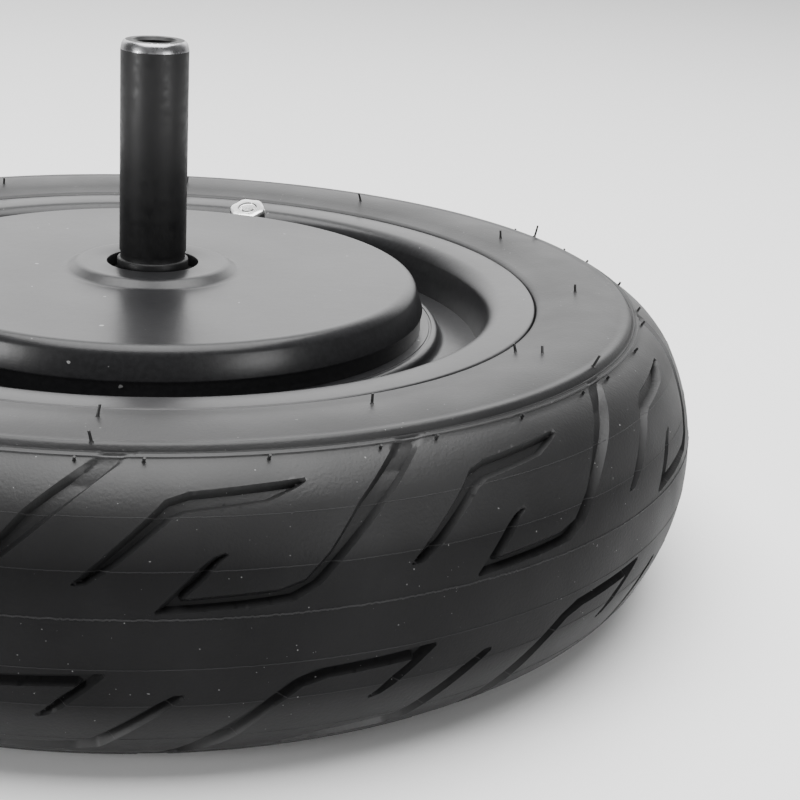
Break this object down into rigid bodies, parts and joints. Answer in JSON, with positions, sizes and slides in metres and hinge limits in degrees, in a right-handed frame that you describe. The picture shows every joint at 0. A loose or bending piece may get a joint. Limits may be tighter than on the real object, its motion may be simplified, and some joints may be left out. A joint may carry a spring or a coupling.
{
  "type": "hub motor wheel",
  "caption": "Single-sided hub motor wheel: treaded tubeless tyre on a black cast rim that is also the motor's shell, spinning on a fixed hollow axle.",
  "frame": {"origin": "on the axle's axis, in the plane that the tyre's outer sidewall rests on", "axes": "+Z along the axle, from the outer sidewall towards the axle's free end"},
  "size_m": [0.2646, 0.2646, 0.1216],
  "materials": {
    "tyre_rubber": "matt moulded rubber with a tread",
    "painted_alloy": "satin black paint on die-cast aluminium",
    "blackened_steel": "black oxide, turned",
    "bearing_steel": "ground and polished",
    "zinc_steel": "zinc plated",
    "black_screw": "black oxide",
    "lamination": "stacked laminations",
    "magnet": "nickel plated",
    "copper": "enamelled winding wire",
    "insulator": "moulded nylon",
    "board": "solder mask",
    "chip": "moulded epoxy",
    "cast_aluminium": "bare casting",
    "seal_rubber": "smooth nitrile",
    "valve_brass": "nickel-plated brass",
    "valve_cap_metal": "polished",
    "cage": "glass-filled nylon"
  },
  "bodies": {
    "stator": {"axle": "blackened_steel", "axle_key": "zinc_steel", "stator_carrier": "cast_aluminium", "stator_core": "lamination", "upper_slot_insulator": "insulator", "lower_slot_insulator": "insulator", "phase_u_coils": "copper", "phase_v_coils": "copper", "phase_w_coils": "copper", "hall_board": "board", "hall_sensors": "chip", "upper_bearing_inner_race": "bearing_steel", "lower_bearing_inner_race": "bearing_steel"},
    "wheel": {"tyre": "tyre_rubber", "rim": "painted_alloy", "axle_side_cover": "painted_alloy", "axle_side_cover_screws": "zinc_steel", "outer_cover": "painted_alloy", "outer_cover_screws": "black_screw", "outer_cover_gasket": "seal_rubber", "flux_ring": "zinc_steel", "magnets": "magnet", "oil_seal": "seal_rubber", "wave_washer": "zinc_steel", "upper_bearing_outer_race": "bearing_steel", "upper_bearing_shields": "zinc_steel", "lower_bearing_outer_race": "bearing_steel", "lower_bearing_shields": "zinc_steel", "valve_stem": "valve_brass", "valve_rubber_base": "seal_rubber", "valve_core": "valve_brass"},
    "upper_balls": {"upper_bearing_balls": "bearing_steel", "upper_bearing_cage": "cage"},
    "lower_balls": {"lower_bearing_balls": "bearing_steel", "lower_bearing_cage": "cage"},
    "valve_cap": {"valve_cap": "valve_cap_metal"}
  },
  "joints": [
    {"name": "wheel_spin", "type": "hinge", "parent": "stator", "child": "wheel", "pos_m": [0, 0, 0.033], "axis": [0, 0, 1], "continuous": true},
    {"name": "upper_cage_spin", "type": "hinge", "parent": "stator", "child": "upper_balls", "pos_m": [0, 0, 0.0571], "axis": [0, 0, 1], "continuous": true},
    {"name": "lower_cage_spin", "type": "hinge", "parent": "stator", "child": "lower_balls", "pos_m": [0, 0, 0.0155], "axis": [0, 0, 1], "continuous": true},
    {"name": "valve_cap_lift", "type": "slide", "parent": "wheel", "child": "valve_cap", "axis": [-0.1226, -0.3193, 0.9397], "range_m": [0, 0.012]}
  ],
  "couplings": [
    {"joint": "upper_cage_spin", "follows": "wheel_spin", "ratio": 0.59154},
    {"joint": "lower_cage_spin", "follows": "wheel_spin", "ratio": 0.60128}
  ]
}
